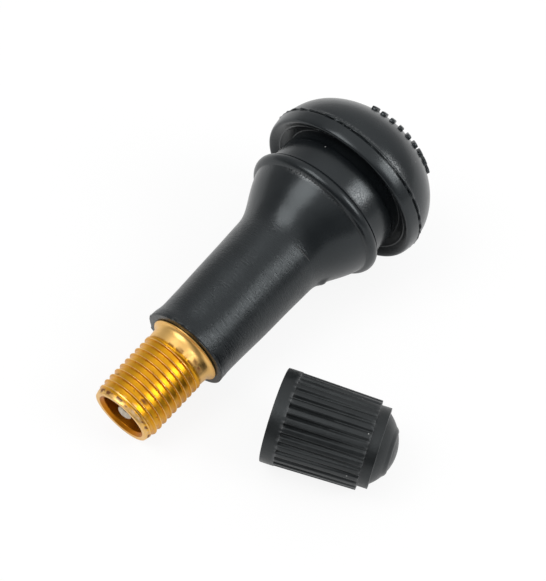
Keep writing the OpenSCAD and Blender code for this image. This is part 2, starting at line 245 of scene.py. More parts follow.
def filled(outline, step, loop=True):
    """Outline with points added so that neighbours lie at most about step apart along it."""
    closed = np.concatenate([outline, outline[:1]]) if loop else outline
    spans = np.linalg.norm(np.diff(closed, axis=0), axis=1)
    counts = np.maximum(1, np.ceil(spans / step)).astype(int)
    place = np.repeat(np.arange(len(spans)), counts)
    share = (np.arange(counts.sum()) - np.repeat(np.cumsum(counts) - counts, counts)) / counts[place]
    line = closed[place] + share[:, None] * (closed[place + 1] - closed[place])
    return line if loop else np.concatenate([line, closed[-1:]])


def smooth_step(value, low, high):
    """0 below low, 1 above high, and 3t² - 2t³ between them."""
    t = np.clip((value - low) / (high - low), 0, 1)
    return t * t * (3 - 2 * t)


def thread_groove(along, turn, pitch):
    """Depth of a thread from 0 on its narrow crest to 1 in its broad root. The phase is the place
    along the axis in pitches, less the turn in whole turns, so one turn leads to the next groove."""
    phase = (along / pitch - turn / (2 * np.pi)) % 1.0
    from_crest = np.minimum(phase, 1 - phase)
    return smooth_step(from_crest, THREAD_CREST, THREAD_CREST + THREAD_FLANK)


def turned_by(turn, middle):
    """Degrees from a middle turn, between -180 and 180."""
    return (np.degrees(turn) - middle + 180) % 360 - 180


def spots(along, turn, places):
    """Sum of soft spots, each a strength times a bell curve along the axis and another round it."""
    return sum(strength * np.exp(-((along - place) / length) ** 2 - (turned_by(turn, middle) / spread) ** 2)
               for place, length, middle, spread, strength in places)


def paint(piece, name, values):
    """Stores one value for each point of a piece, for its material to read."""
    layer = piece.data.attributes.new(name, "FLOAT", "POINT")
    layer.data.foreach_set("value", values.astype(np.float32).ravel())


def node_adder(tree):
    """A function that adds a node to a tree: each of its inputs is a value or a socket to link."""

    def add(kind, inputs=None, **settings):
        node = tree.nodes.new("ShaderNode" + kind)
        for key, value in settings.items():
            setattr(node, key, value)
        for key, value in (inputs or {}).items():
            if isinstance(value, bpy.types.NodeSocket):
                tree.links.new(value, node.inputs[key])
            else:
                node.inputs[key].default_value = value
        return node

    return add


def new_finish(name):
    """A new material, its shader, a function that adds a node, and one that links a value to the shader."""
    material = bpy.data.materials.new(name)
    material.use_nodes = True
    tree = material.node_tree
    shader = tree.nodes["Principled BSDF"]

    def wire(socket, value):
        tree.links.new(value, shader.inputs[socket])

    return material, shader, node_adder(tree), wire


def valve_coordinates(add, scale):
    """Object coordinates turned so that X runs along the valve, then scaled along and across it."""
    lean = float(np.arctan2(INWARD[2], INWARD[0]))
    place = add("TexCoord").outputs["Object"]
    level = add("Mapping", {"Vector": place, "Rotation": (0.0, lean, 0.0)}).outputs["Vector"]
    return add("Mapping", {"Vector": level, "Scale": scale}).outputs["Vector"]


def share_between(add, socket, low, high, to_low=0.0, to_high=1.0):
    """Brings a socket's range from low to high onto another range."""
    limits = {"From Min": low, "From Max": high, "To Min": to_low, "To Max": to_high}
    return add("MapRange", {"Value": socket, **limits}).outputs["Result"]


def mixed(add, factor, a, b):
    """Colour a blended towards colour b."""
    return add("Mix", {0: factor, 6: a, 7: b}, data_type="RGBA").outputs[2]


def worked(add, operation, a, b):
    """One sum, product or other step of arithmetic on two sockets or values."""
    return add("Math", {0: a, 1: b}, operation=operation).outputs[0]


def noise(add, place, scale, detail, roughness=0.5):
    """Value of a noise pattern at each place."""
    inputs = {"Vector": place, "Scale": scale, "Detail": detail, "Roughness": roughness}
    return add("TexNoise", inputs).outputs["Fac"]


def painted(add, name):
    """Value that was painted on the piece's points."""
    return add("Attribute", attribute_name=name).outputs["Fac"]


def bumped(add, height, strength, distance, under=None):
    """Normal of a fine relief, laid over the normal under it where one is given."""
    inputs = {"Height": height, "Strength": strength, "Distance": distance}
    if under is not None:
        inputs["Normal"] = under
    return add("Bump", inputs).outputs["Normal"]


def gold_brass():
    """Golden brass: pale on the crests, deeper in the grooves and rubbed round the mouth, with a darker
    brown painted inside it as shade, stains, dirt caught in the thread and fine lathe lines."""
    material, shader, add, wire = new_finish("gold_brass")
    place = valve_coordinates(add, (1.0, 1.0, 1.0))
    lathe = valve_coordinates(add, LATHE_GRAIN)
    deep = painted(add, "deep")
    inside = painted(add, "inside")
    patches = noise(add, place, 260.0, 4.0)
    flecks = noise(add, place, 1500.0, 3.0)
    lines = noise(add, lathe, 1.0, 2.0)
    hue = mixed(add, share_between(add, patches, 0.35, 0.7), BRASS_DARK, BRASS_LIGHT)
    crest = mixed(add, share_between(add, deep, 0.0, 0.16), BRASS_CREST, hue)
    caught = worked(add, "MULTIPLY", share_between(add, flecks, 0.67, 0.77),
                    share_between(add, deep, 0.3, 1.0))
    clump = worked(add, "MULTIPLY", painted(add, "stain"), share_between(add, flecks, 0.42, 0.54))
    dirt = worked(add, "MAXIMUM", caught, clump)
    rubbed = worked(add, "MULTIPLY", painted(add, "rubbed"), share_between(add, flecks, 0.44, 0.58))
    bared = mixed(add, rubbed, crest, BRASS_RUBBED)
    soiled = mixed(add, dirt, bared, BRASS_DIRT)
    # The bore and the mouth's chamfer take the darker brown as painted shade
    wire("Base Color", mixed(add, inside, soiled, BRASS_INSIDE_SHADE))
    matt = worked(add, "MAXIMUM", dirt, rubbed)
    wire("Roughness", share_between(add, worked(add, "ADD", lines, matt), 0.3, 1.2, 0.29, 0.6))
    dull = worked(add, "MAXIMUM", dirt, share_between(add, inside, 0.0, 1.0, 0.0, 0.2))
    wire("Metallic", share_between(add, dull, 0.0, 1.0, 1.0, 0.1))
    shader.inputs["Specular IOR Level"].default_value = 0.1
    wire("Normal", bumped(add, lines, 0.08, 0.00002))
    return material


def shank_rings():
    """Outline points of the ring grooves that key the shank into the rubber."""
    pitch = (SHANK_END - FOOT_L - BRASS_SHOW) / KEY_RINGS
    middle = BRASS_SHOW + pitch * (np.arange(KEY_RINGS) + 0.5)
    along = np.stack([middle - KEY_W / 2, middle - KEY_W / 2, middle + KEY_W / 2, middle + KEY_W / 2], 1)
    radius = np.tile([SHANK_R, SHANK_R - KEY_DEPTH, SHANK_R - KEY_DEPTH, SHANK_R], (KEY_RINGS, 1))
    return np.stack([along, radius], -1).reshape(-1, 2)


def brass_outline():
    """Loop of (along, radius) points round the brass wall: the mouth, the lead, the thread, the neck and its
    flare, the shank and its foot, and back by the passage, the chamber, the seat and the bore."""
    bend = np.radians(np.arange(0, 91, 10))
    flare_from = NECK_R + NECK_TAPER
    flare = np.stack([FLARE_AT + FLARE_L * np.sin(bend),
                      flare_from + (FLARE_R - flare_from) * (1 - np.cos(bend))], 1)
    back = BRASS_SHOW - FACE_GAP
    foot_at = SHANK_END - FOOT_L
    front = [[0, MOUTH_R], [0, TIP_R], [LEAD_L, THREAD_R], [THREAD_END, THREAD_R], [THREAD_END, NECK_R]]
    shank = [[back, FLARE_R], [back, SHANK_R]]
    foot = [[foot_at, SHANK_R], [foot_at, FOOT_R], [SHANK_END, FOOT_R], [SHANK_END, PASSAGE_R]]
    inside = [[CHAMBER_END, PASSAGE_R], [CHAMBER_END, CHAMBER_R], [SEAT_END, CHAMBER_R], [SEAT_AT, SEAT_R],
              [SEAT_AT, BORE_R], [MOUTH_R - BORE_R, BORE_R]]
    return np.concatenate([front, flare, shank, shank_rings(), foot, inside])


def brass_rows():
    """Along and radius of each ring: the rounded outline with close rows on the outer thread, every second
    of them in the bore, and few elsewhere."""
    outline = eased(brass_outline(), BRASS_EASE)
    coarse = filled(outline, ROW_STEP)
    fine = filled(outline, THREAD_ROW_STEP)
    along, radius = fine[:, 0], fine[:, 1]
    near_front = (along < FLARE_AT) & (radius > MOUTH_R)
    near_bore = (along < SEAT_AT) & (radius < MOUTH_R) & (np.arange(len(fine)) % 2 == 0)
    elsewhere = (np.abs(fine[:, None] - coarse[None]).sum(-1) < 1e-9).any(1)
    kept = fine[near_front | near_bore | elsewhere]
    return kept[:, :1], kept[:, 1:]


def brass_rings():
    """Rings of the brass stem with both threads cut, and for each point how deep it lies in a thread, how
    much painted shade it takes inside the mouth, how stained it is and how rubbed."""
    along, radius = brass_rows()
    turn = np.linspace(0, 2 * np.pi, BRASS_COLUMNS, endpoint=False)[None, :]
    outside = radius > MOUTH_R
    outer = outside & (along < THREAD_END - 0.02)
    inner = (radius < MOUTH_R) & (along > BORE_THREAD_AT) & (along < SEAT_AT - 0.1)
    runs_out = 1 - smooth_step(along, THREAD_END - RUN_OUT, THREAD_END - 0.05)
    cut = outer * runs_out * thread_groove(along, turn, THREAD_PITCH)
    bored = inner * thread_groove(along, turn, BORE_PITCH)
    threaded = np.where(outer, np.minimum(radius, THREAD_R - THREAD_DEPTH * cut), radius)
    corner_dirt = np.exp(-((along - THREAD_END) / DIRT_W) ** 2) * outside
    deep = np.maximum(np.maximum(cut * smooth_step(along, LEAD_FROM, LEAD_L), bored), corner_dirt)
    # Painted shade inside the mouth: 1 over the bore and, from just past the mouth's edge, over the chamfer
    inside = np.broadcast_to((radius < MOUTH_R - 0.02) * smooth_step(along, 0.0, MOUTH_SHADE), deep.shape)
    stain = spots(along, turn, STAINS) * outside
    rubbed = spots(along, turn, RUBBED) * outside
    return along, threaded + BORE_DEPTH * bored, deep, inside, stain, rubbed


brass_along, brass_radius, *brass_paints = brass_rings()
brass_stem = add_turned("threaded_stem", VALVE, brass_along, brass_radius, gold_brass(), crease=50)
for paint_name, paint_values in zip(("deep", "inside", "stain", "rubbed"), brass_paints):
    paint(brass_stem, paint_name, paint_values)
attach(brass_stem, "valve")
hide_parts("brass_stem")

# Rubber body
# The black rubber moulded round the brass: a stem, a bell, a bead and a groove that snap into the rim's
# hole, and a domed head with a hollow and a thin lip under it. Two mould halves leave a ragged flash line
# round the head's widest place.
STEM_END_R = 5.18
STEM_BEVEL = 0.14
STEM_WAIST = 2.1
STEM_R = 5.0
STEM_L = 14.85
STEM_TAPER = 0.43
BELL_L = 6.3
BELL_EASE = 2.1
BELL_CROWN = 2.9
BELL_RISE = 0.345
SHOULDER_R = 8.68
BEAD_ROUND = 0.85
BEAD_FROM = 168
BEAD_TO = 35
GROOVE_R = 7.9
GROOVE_W = 3.65
RELIEF_L = 0.6
RELIEF_DEPTH = 0.12
WEDGE_DEPTH = 1.0
LIP_R = 8.95
LIP_IN = 0.35
LIP_W = 0.06
EDGE_DROP = 0.22
EDGE_ROUND = 0.26
HEAD_R = 10.42
HEAD_SIDE = 1.6
HEAD_DRAFT = 0.15
HEAD_STEP = 0.2
SEAM_W = 0.2
SEAM_DEPTH = 0.2
FLASH = 0.14
FLASH_W = 0.08
DOME_H = 7.7
AIR_HOLE_R = 1.5
RUBBER_COLUMNS = 300
RUBBER_EASE = 0.05
END_TEAR = 0.14
END_TRIM = 0.16
LOW_SIDE = 255
NICK_HALF = 0.04
NICK_FADE = 0.1
SCUFF_GRAIN = (5200.0, 1100.0, 1100.0)
RUBBER_DARK = (0.0052, 0.0066, 0.0078, 1)
RUBBER_LIGHT = (0.0095, 0.0116, 0.0132, 1)
# Pale worn rubber; the same colour is also painted as a highlight on the groove and along the lip
RUBBER_WORN_AND_HIGHLIT = (0.22, 0.222, 0.225, 1)
RUBBER_NICK = (0.06, 0.06, 0.06, 1)
RUBBER_DUST = (0.26, 0.26, 0.255, 1)
RUBBER_SHEEN = (0.90, 0.97, 1.0, 1)
# Each ragged edge: knots round the circle and the seed of their heights
FLASH_KNOTS = (110, 3)
TEAR_KNOTS = (60, 8)
SEAM_KNOTS = (130, 5)
LUMP_KNOTS = (90, 12)
# Each slow swell: height in millimetres, waves round, drift for each millimetre along, start in radians
SWELLS = ((0.018, 3, 0.35, 0.0), (0.014, 5, -0.52, 1.0), (0.010, 2, 0.9, 2.0))
# Each worn place or lump: along and length in millimetres, turn and spread in degrees, strength or height.
# The first worn place is worn skin on the groove with a painted highlight over it.
WORN_AND_HIGHLIT = (
    (34.1, 0.75, 321.0, 8.0, 1.0),
    (31.45, 0.14, 4.0, 13.0, 1.0),
    (31.48, 0.08, 340.0, 18.0, 0.2),
    (38.62, 0.12, 350.0, 60.0, 0.3),
    (38.75, 0.35, 323.0, 8.0, 0.8),
    (37.9, 0.25, 323.0, 8.0, 0.6),
    (26.95, 0.5, 251.0, 6.0, 1.4),
)
LUMPS = (
    (26.95, 0.5, 250.0, 6.0, 0.38),
    (23.9, 0.3, 264.0, 8.0, 0.1),
)
# Points of the nick: along and radius in millimetres, turn in degrees
NICK = ((25.70, 5.53, 327.5), (25.80, 5.55, 315.5), (25.89, 5.57, 303.5))
BELL_AT = BRASS_SHOW + STEM_L
BEAD_AT = BELL_AT + BELL_L + BEAD_ROUND
GROOVE_AT = BEAD_AT + BEAD_ROUND * np.cos(np.radians(BEAD_TO))
UNDER_AT = GROOVE_AT + GROOVE_W
LIP_AT = UNDER_AT + LIP_IN
EDGE_AT = UNDER_AT - EDGE_DROP
PARTING_AT = UNDER_AT + HEAD_SIDE
SEAM_AT = PARTING_AT - 0.7 * SEAM_W
DOME_R = HEAD_R - HEAD_STEP


def arc(centre, radius, start, end, count=10):
    """Points of an arc about a centre, from one angle to another in degrees."""
    t = np.radians(np.linspace(start, end, count))
    return np.stack([centre[0] + radius * np.cos(t), centre[1] + radius * np.sin(t)], 1)


def bezier(p, q, r, s, count=16):
    """Points of a cubic curve with end points p and s and handles q and r."""
    t = np.linspace(0, 1, count)[:, None]
    p, q, r, s = (np.asarray(x, float) for x in (p, q, r, s))
    return (1 - t) ** 3 * p + 3 * (1 - t) ** 2 * t * q + 3 * (1 - t) * t * t * r + t ** 3 * s


def rubber_outline():
    """Loop of (along, radius) points: the rubber's outside from the brass over the bell, the bead, the
    groove, the hollow and the lip to the head and its dome, the air hole, and back along the shank."""
    bead = arc((BEAD_AT, SHOULDER_R - BEAD_ROUND), BEAD_ROUND, BEAD_FROM, BEAD_TO, 14)
    bell_r = STEM_R + STEM_TAPER
    slope = STEM_TAPER / (STEM_L - STEM_WAIST)
    end = [[BRASS_SHOW, SHANK_R + FACE_GAP], [BRASS_SHOW, STEM_END_R - STEM_BEVEL],
           [BRASS_SHOW + STEM_BEVEL, STEM_END_R]]
    collar = bezier((BRASS_SHOW + 2 * STEM_BEVEL, STEM_END_R), (BRASS_SHOW + STEM_WAIST / 2, STEM_END_R),
                    (BRASS_SHOW + STEM_WAIST / 2, STEM_R), (BRASS_SHOW + STEM_WAIST, STEM_R), 9)
    bell = bezier((BELL_AT, bell_r), (BELL_AT + BELL_EASE, bell_r + BELL_EASE * slope),
                  bead[0] - [BELL_CROWN, BELL_CROWN * BELL_RISE], bead[0], 22)[:-1]
    groove = [[GROOVE_AT + LIP_W, GROOVE_R]]
    relief_r = GROOVE_R - RELIEF_DEPTH
    relief = bezier((UNDER_AT - RELIEF_L, GROOVE_R), (UNDER_AT - 0.65 * RELIEF_L, GROOVE_R),
                    (UNDER_AT - 0.55 * RELIEF_L, relief_r), (UNDER_AT - 0.2 * RELIEF_L, relief_r), 9)
    wedge = [[UNDER_AT + WEDGE_DEPTH, relief_r], [UNDER_AT + WEDGE_DEPTH, relief_r + LIP_W]]
    lip = [[LIP_AT + LIP_W, LIP_R - 2 * LIP_W], [LIP_AT, LIP_R - LIP_W], [LIP_AT, LIP_R]]
    side_r = HEAD_R - HEAD_DRAFT
    edge = bezier((LIP_AT, LIP_R + LIP_W), (EDGE_AT - EDGE_ROUND / 4, side_r - 1.4 * EDGE_ROUND),
                  (EDGE_AT - EDGE_ROUND, side_r - 0.4 * EDGE_ROUND),
                  (EDGE_AT + 3 * EDGE_ROUND, side_r + 0.4 * HEAD_DRAFT), 18)
    seam = [[PARTING_AT - 1.6 * SEAM_W, HEAD_R - 0.01], [SEAM_AT, HEAD_R - SEAM_DEPTH],
            [PARTING_AT - FLASH_W / 2, HEAD_R], [PARTING_AT + FLASH_W / 2, HEAD_R]]
    rise = np.linspace(FLASH_W / DOME_H, np.arccos(AIR_HOLE_R / DOME_R), 44)
    dome = np.stack([PARTING_AT + DOME_H * np.sin(rise), DOME_R * np.cos(rise)], 1)
    back_at = SHANK_END + FACE_GAP
    foot_at = SHANK_END - FOOT_L - FACE_GAP
    back = [[back_at, AIR_HOLE_R], [back_at, FOOT_R + FACE_GAP], [foot_at, FOOT_R + FACE_GAP],
            [foot_at, SHANK_R + FACE_GAP]]
    keys = shank_rings()[::-1] + [0, FACE_GAP]
    front = [end, collar, bell, bead, groove, relief, wedge, lip]
    return np.concatenate([*front, edge, seam, dome, back, keys])


def ragged(turn, knots, seed):
    """Uneven values from 0 to 1 round a circle: seeded random knots with cosine steps between them."""
    values = np.random.RandomState(seed).rand(knots)
    place = (turn / (2 * np.pi) * knots) % knots
    left = np.floor(place).astype(int)
    blend = (1 - np.cos(np.pi * (place - left))) / 2
    return values[left % knots] * (1 - blend) + values[(left + 1) % knots] * blend


def rubber_rings():
    """Rings of the rubber body, each point pushed square to the outline by its unevenness: slow swells,
    lumps, a trimmed end, a seam closed in places, and ragged fins at the parting line and the stem's end,
    each a bell curve along the outline times uneven values round it. Also how scuffed it is, and how
    worn, with the painted highlights on the groove and along the lip in the wear."""
    line = filled(eased(rubber_outline(), RUBBER_EASE, count=3), ROW_STEP)
    along, radius = line[:, :1], line[:, 1:]
    ahead = np.roll(line, -1, 0) - np.roll(line, 1, 0)
    ahead /= np.linalg.norm(ahead, axis=1, keepdims=True)
    turn = np.linspace(0, 2 * np.pi, RUBBER_COLUMNS, endpoint=False)[None, :]
    on_stem = (radius > SHANK_R + 0.3) & (along > BRASS_SHOW + 0.02)
    on_head = (radius > AIR_HOLE_R + 0.1) & (along > UNDER_AT)
    outside = on_stem | on_head
    swell = sum(height * np.sin(waves * turn + drift * along + start)
                for height, waves, drift, start in SWELLS)
    underneath = smooth_step(np.cos(turn - np.pi), 0.80, 0.95)
    fin_height = FLASH * smooth_step(ragged(turn, *FLASH_KNOTS), 0.2, 0.9) * (1 - underneath)
    fin = fin_height * np.exp(-((along - PARTING_AT) / FLASH_W) ** 4) * (radius > HEAD_R - 0.03)
    one_side = 0.35 + 0.65 * (np.cos(turn - 0.9) > 0)
    tear = END_TEAR * smooth_step(ragged(turn, *TEAR_KNOTS), 0.45, 1.0) * one_side
    torn = tear * np.exp(-((along - BRASS_SHOW - 0.15) / 0.16) ** 2) * (radius > STEM_R - 0.4)
    at_seam = np.exp(-((along - SEAM_AT) / (0.5 * SEAM_W)) ** 2) * (radius > HEAD_R - 2 * SEAM_DEPTH)
    closed = SEAM_DEPTH * smooth_step(ragged(turn, *SEAM_KNOTS), 0.55, 0.8) * at_seam
    lumps = spots(along, turn, LUMPS) * (0.7 + 0.6 * ragged(turn, *LUMP_KNOTS))
    lower = smooth_step(np.cos(turn - np.radians(LOW_SIDE)), -0.2, 0.7)
    near_end = np.exp(-((along - BRASS_SHOW - 0.35) / 0.9) ** 2) * (radius > STEM_R - 0.3)
    push = outside * (swell + fin + torn + closed + lumps - END_TRIM * lower * near_end)
    scuff = np.broadcast_to(1 - smooth_step(along, BELL_AT - 1.0, BELL_AT + 3.0), push.shape)
    # Painted highlight: a pale line along the lip's edge, brightest on the top, added to the worn values
    lip_highlight = np.exp(-((along - LIP_AT) / LIP_W) ** 2 - ((radius - LIP_R) / LIP_W) ** 2)
    worn = spots(along, turn, WORN_AND_HIGHLIT) * outside * (radius > GROOVE_R - 0.05)
    worn = worn + 1.5 * lip_highlight * np.exp(-(turned_by(turn, 0) / 55) ** 2)
    return along + push * -ahead[:, 1:], radius + push * ahead[:, :1], scuff, worn


def distance_to_line(add, place, start, end):
    """Distance from each point to a straight line between two points, in metres."""
    span = Vector(end) - Vector(start)
    pace = tuple(span / span.length_squared)
    offset = add("VectorMath", {0: place, 1: tuple(start)}, operation="SUBTRACT").outputs[0]
    along = add("VectorMath", {0: offset, 1: pace}, operation="DOT_PRODUCT").outputs["Value"]
    share = share_between(add, along, 0.0, 1.0)
    foot = add("VectorMath", {0: tuple(span), "Scale": share}, operation="SCALE").outputs[0]
    return add("VectorMath", {0: offset, 1: foot}, operation="DISTANCE").outputs["Value"]


def dust_specks(add, place, scale, size, rarity):
    """Specks in the middle of some cells of a Voronoi pattern: those whose random value is over rarity."""
    cells = add("TexVoronoi", {"Vector": place, "Scale": scale})
    chosen = add("SeparateColor", {"Color": cells.outputs["Color"]}).outputs[0]
    near = share_between(add, cells.outputs["Distance"], 0.03, size, 1.0, 0.0)
    return worked(add, "MULTIPLY", near, share_between(add, chosen, rarity, rarity + 0.02))


def black_rubber():
    """Satin moulded rubber: charcoal with a cool cast, faint smears, fine scuffs round the stem, a few worn
    places, a painted highlight on the groove and along the lip, a nick and specks of dust."""
    material, shader, add, wire = new_finish("black_rubber")
    place = add("TexCoord").outputs["Object"]
    smears = noise(add, place, 220.0, 5.0, 0.6)
    grain = noise(add, place, 5200.0, 3.0)
    scratches = noise(add, valve_coordinates(add, SCUFF_GRAIN), 1.0, 4.0, 0.7)
    scratch = worked(add, "MULTIPLY", share_between(add, scratches, 0.35, 0.75), painted(add, "scuff"))
    # Worn places in grainy specks, with the painted highlights on the groove and along the lip
    worn_and_highlit_patch = worked(add, "MULTIPLY", painted(add, "worn"), share_between(add, grain, 0.40, 0.62))
    nick_line = [turned_points(VALVE, along, radius, np.radians(turn)) for along, radius, turn in NICK]
    from_nick = worked(add, "MINIMUM", distance_to_line(add, place, *nick_line[:2]),
                       distance_to_line(add, place, *nick_line[1:]))
    nick = share_between(add, from_nick, NICK_HALF * MM, NICK_FADE * MM, 1.0, 0.0)
    tone = mixed(add, share_between(add, smears, 0.3, 0.7), RUBBER_DARK, RUBBER_LIGHT)
    # Pale worn rubber, also the painted highlight on the groove and along the lip
    rubbed = mixed(add, share_between(add, worn_and_highlit_patch, 0.0, 1.0, 0.0, 0.85), tone, RUBBER_WORN_AND_HIGHLIT)
    nicked = mixed(add, share_between(add, nick, 0.0, 1.0, 0.0, 0.6), rubbed, RUBBER_NICK)
    wire("Base Color", mixed(add, dust_specks(add, place, 520.0, 0.055, 0.86), nicked, RUBBER_DUST))
    skin = share_between(add, smears, 0.3, 0.7, 0.23, 0.31)
    dull = worked(add, "ADD", skin, share_between(add, scratch, 0.0, 1.0, -0.02, 0.10))
    wire("Roughness", worked(add, "SUBTRACT", dull, share_between(add, worn_and_highlit_patch, 0.0, 1.0, 0.0, 0.08)))
    shader.inputs["Specular IOR Level"].default_value = 0.45
    shader.inputs["Specular Tint"].default_value = RUBBER_SHEEN
    depth = worked(add, "SUBTRACT", scratch, share_between(add, nick, 0.0, 1.0, 0.0, 2.0))
    uneven = bumped(add, smears, 0.3, 0.00015)
    fine = bumped(add, grain, 0.10, 0.00002, uneven)
    wire("Normal", bumped(add, depth, 0.5, 0.00004, fine))
    return material


rubber_finish = black_rubber()
rubber_along, rubber_radius, rubber_scuff, rubber_wear_and_highlight = rubber_rings()
rubber_body = add_turned("rubber_moulding", VALVE, rubber_along, rubber_radius, rubber_finish, crease=55)
paint(rubber_body, "scuff", rubber_scuff)
# The worn values also carry the painted highlights on the groove and along the lip
paint(rubber_body, "worn", rubber_wear_and_highlight)
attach(rubber_body, "valve")
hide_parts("rubber_body")

# Raised bars on the dome
# Short plain bars moulded in the same rubber, in two facing arcs round the dome's crown. They stand out of
# the dome by about a third of a millimetre.
BAR_RING_R = 7.0
BAR_HALF = (0.62, 0.34, 0.36)
BAR_COUNT = 9
BAR_ARC = (286, 364)


def rounded_blocks(centres, axes, half, rows=7, columns=20, power=0.35):
    """Rounded blocks: a sphere's cosines and sines raised to a small power with their sign kept, times
    half sizes along each block's own three axes. A fan of triangles closes each end of a block."""
    rise = np.linspace(-1, 1, rows)[:, None] * np.radians(84)
    turn = np.linspace(0, 2 * np.pi, columns, endpoint=False)[None, :]

    def bent(value):
        return np.sign(value) * np.abs(value) ** power

    shape = np.stack(np.broadcast_arrays(bent(np.cos(rise)) * bent(np.cos(turn)),
                                         bent(np.cos(rise)) * bent(np.sin(turn)), bent(np.sin(rise))), -1)
    ends = np.array([[0, 0, -1.0], [0, 0, 1.0]])
    unit = np.concatenate([shape.reshape(-1, 3), ends]) * half
    points = centres[:, None] + np.einsum("pk,bkx->bpx", unit, axes)
    block = np.concatenate([ring_faces(rows, columns, False), end_fans(rows, columns)])
    shift = np.arange(len(centres))[:, None, None] * len(unit)
    return points.reshape(-1, 3), (block[None] + shift).reshape(-1, 4)


def dome_bars():
    """Bars at even turns in two facing arcs, each lying on the dome with its length towards the crown."""
    first = np.radians(np.linspace(*BAR_ARC, BAR_COUNT))
    turn = np.concatenate([first, first + np.pi])
    rise = np.arccos(BAR_RING_R / DOME_R)
    along = PARTING_AT + DOME_H * np.sin(rise)
    centres = turned_points(VALVE, along, BAR_RING_R, turn)
    around = np.cos(turn)[:, None] * UPWARD + np.sin(turn)[:, None] * ACROSS
    sideways = -np.sin(turn)[:, None] * UPWARD + np.cos(turn)[:, None] * ACROSS
    climb = DOME_H * np.cos(rise) * INWARD - DOME_R * np.sin(rise) * around
    climb /= np.linalg.norm(climb, axis=1, keepdims=True)
    axes = np.stack([climb, sideways, np.cross(climb, sideways)], 1)
    return rounded_blocks(centres, axes, np.array(BAR_HALF) * MM)


bar_points, bar_faces = dome_bars()
bars = add_piece("dome_bars", bar_points, bar_faces, rubber_finish, crease=60)
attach(bars, "valve")

# Core barrel, seal and plunger
# The inner pieces of the screw-in core: a turned brass barrel with its tapered seal, and the small brass
# cup with a rubber face that closes the barrel's end. They keep the shapes of their solids.
CORE_GRAIN = (14000.0, 300.0, 300.0)
CORE_DARK = (0.62, 0.40, 0.13, 1)
CORE_LIGHT = (0.74, 0.52, 0.21, 1)
RED_DARK = (0.30, 0.03, 0.025, 1)
RED_LIGHT = (0.42, 0.06, 0.045, 1)
SEAL_DARK = (0.02, 0.02, 0.021, 1)
SEAL_LIGHT = (0.045, 0.045, 0.046, 1)


def turned_brass():
    """Plain turned brass with fine lathe lines and a slightly dull skin."""
    material, shader, add, wire = new_finish("core_brass")
    lines = noise(add, valve_coordinates(add, CORE_GRAIN), 1.0, 2.0)
    patches = noise(add, add("TexCoord").outputs["Object"], 600.0, 4.0)
    wire("Base Color", mixed(add, share_between(add, patches, 0.35, 0.7), CORE_DARK, CORE_LIGHT))
    wire("Roughness", share_between(add, lines, 0.3, 0.7, 0.22, 0.42))
    shader.inputs["Metallic"].default_value = 1.0
    wire("Normal", bumped(add, lines, 0.1, 0.00002))
    return material


def soft_seal(name, dark, light):
    """Matte sealing rubber with a faint mottle and grain."""
    material, _, add, wire = new_finish(name)
    place = add("TexCoord").outputs["Object"]
    mottle = noise(add, place, 1400.0, 4.0)
    grain = noise(add, place, 9000.0, 2.0)
    wire("Base Color", mixed(add, share_between(add, mottle, 0.35, 0.65), dark, light))
    wire("Roughness", share_between(add, mottle, 0.3, 0.7, 0.5, 0.65))
    wire("Normal", bumped(add, grain, 0.15, 0.00002))
    return material


def dress_node(node, material):
    """Gives a carried-over solid its finish in every material slot."""
    mesh = frame["nodes"][node].data
    mesh.materials.clear()
    mesh.materials.append(material)


core_brass = turned_brass()
dress_node("core_barrel", core_brass)
dress_node("plunger_cup", core_brass)
dress_node("barrel_seal", soft_seal("red_seal", RED_DARK, RED_LIGHT))
dress_node("plunger_seal", soft_seal("seal_rubber", SEAL_DARK, SEAL_LIGHT))

# Core plug
# The brass plug that screws the core into the stem: a short threaded ring that swivels on the barrel,
# under a bridge with two flats that the core tool turns. The pin passes through its middle.
PLUG_AT = 2.9
BRIDGE_L = 1.7
BRIDGE_R = 1.9
BRIDGE_W = 1.9
PLUG_R = 2.6
PLUG_L = 2.4
PLUG_WEB = 0.5
PLUG_HOLE_R = 1.3
PLUG_DEPTH = 0.14
PIN_HOLE_R = 0.745
SWIVEL_AT = 5.7
SWIVEL_L = 0.5
SWIVEL_HOLE_R = 1.95
LIP_HOLE_R = 1.55
RUN_CLEAR = 0.1
PLUG_COLUMNS = 144
PLUG_EASE = 0.08
PLUG_ROW_STEP = 0.06
BRIDGE_EASE = 0.09
BRIDGE_ROW_STEP = 0.25
PLUG_END = PLUG_AT + BRIDGE_L + PLUG_L


def plug_ring():
    """Rings of the threaded ring: a loop with the swivel's hollow inside and a fine thread outside."""
    ring_at = PLUG_AT + BRIDGE_L
    hollow = SWIVEL_AT - RUN_CLEAR
    hollow_end = SWIVEL_AT + SWIVEL_L + RUN_CLEAR
    outline = [[ring_at, PLUG_HOLE_R], [ring_at, PLUG_R], [PLUG_END, PLUG_R], [PLUG_END, LIP_HOLE_R],
               [hollow_end, LIP_HOLE_R], [hollow_end, SWIVEL_HOLE_R], [hollow, SWIVEL_HOLE_R],
               [hollow, PLUG_HOLE_R]]
    line = filled(eased(outline, PLUG_EASE), PLUG_ROW_STEP)
    along, radius = line[:, :1], line[:, 1:]
    turn = np.linspace(0, 2 * np.pi, PLUG_COLUMNS, endpoint=False)[None, :]
    wall = (radius > PLUG_R - 0.01) & (along > ring_at + 0.1) & (along < PLUG_END - 0.1)
    return along, radius - PLUG_DEPTH * wall * thread_groove(along, turn, BORE_PITCH)


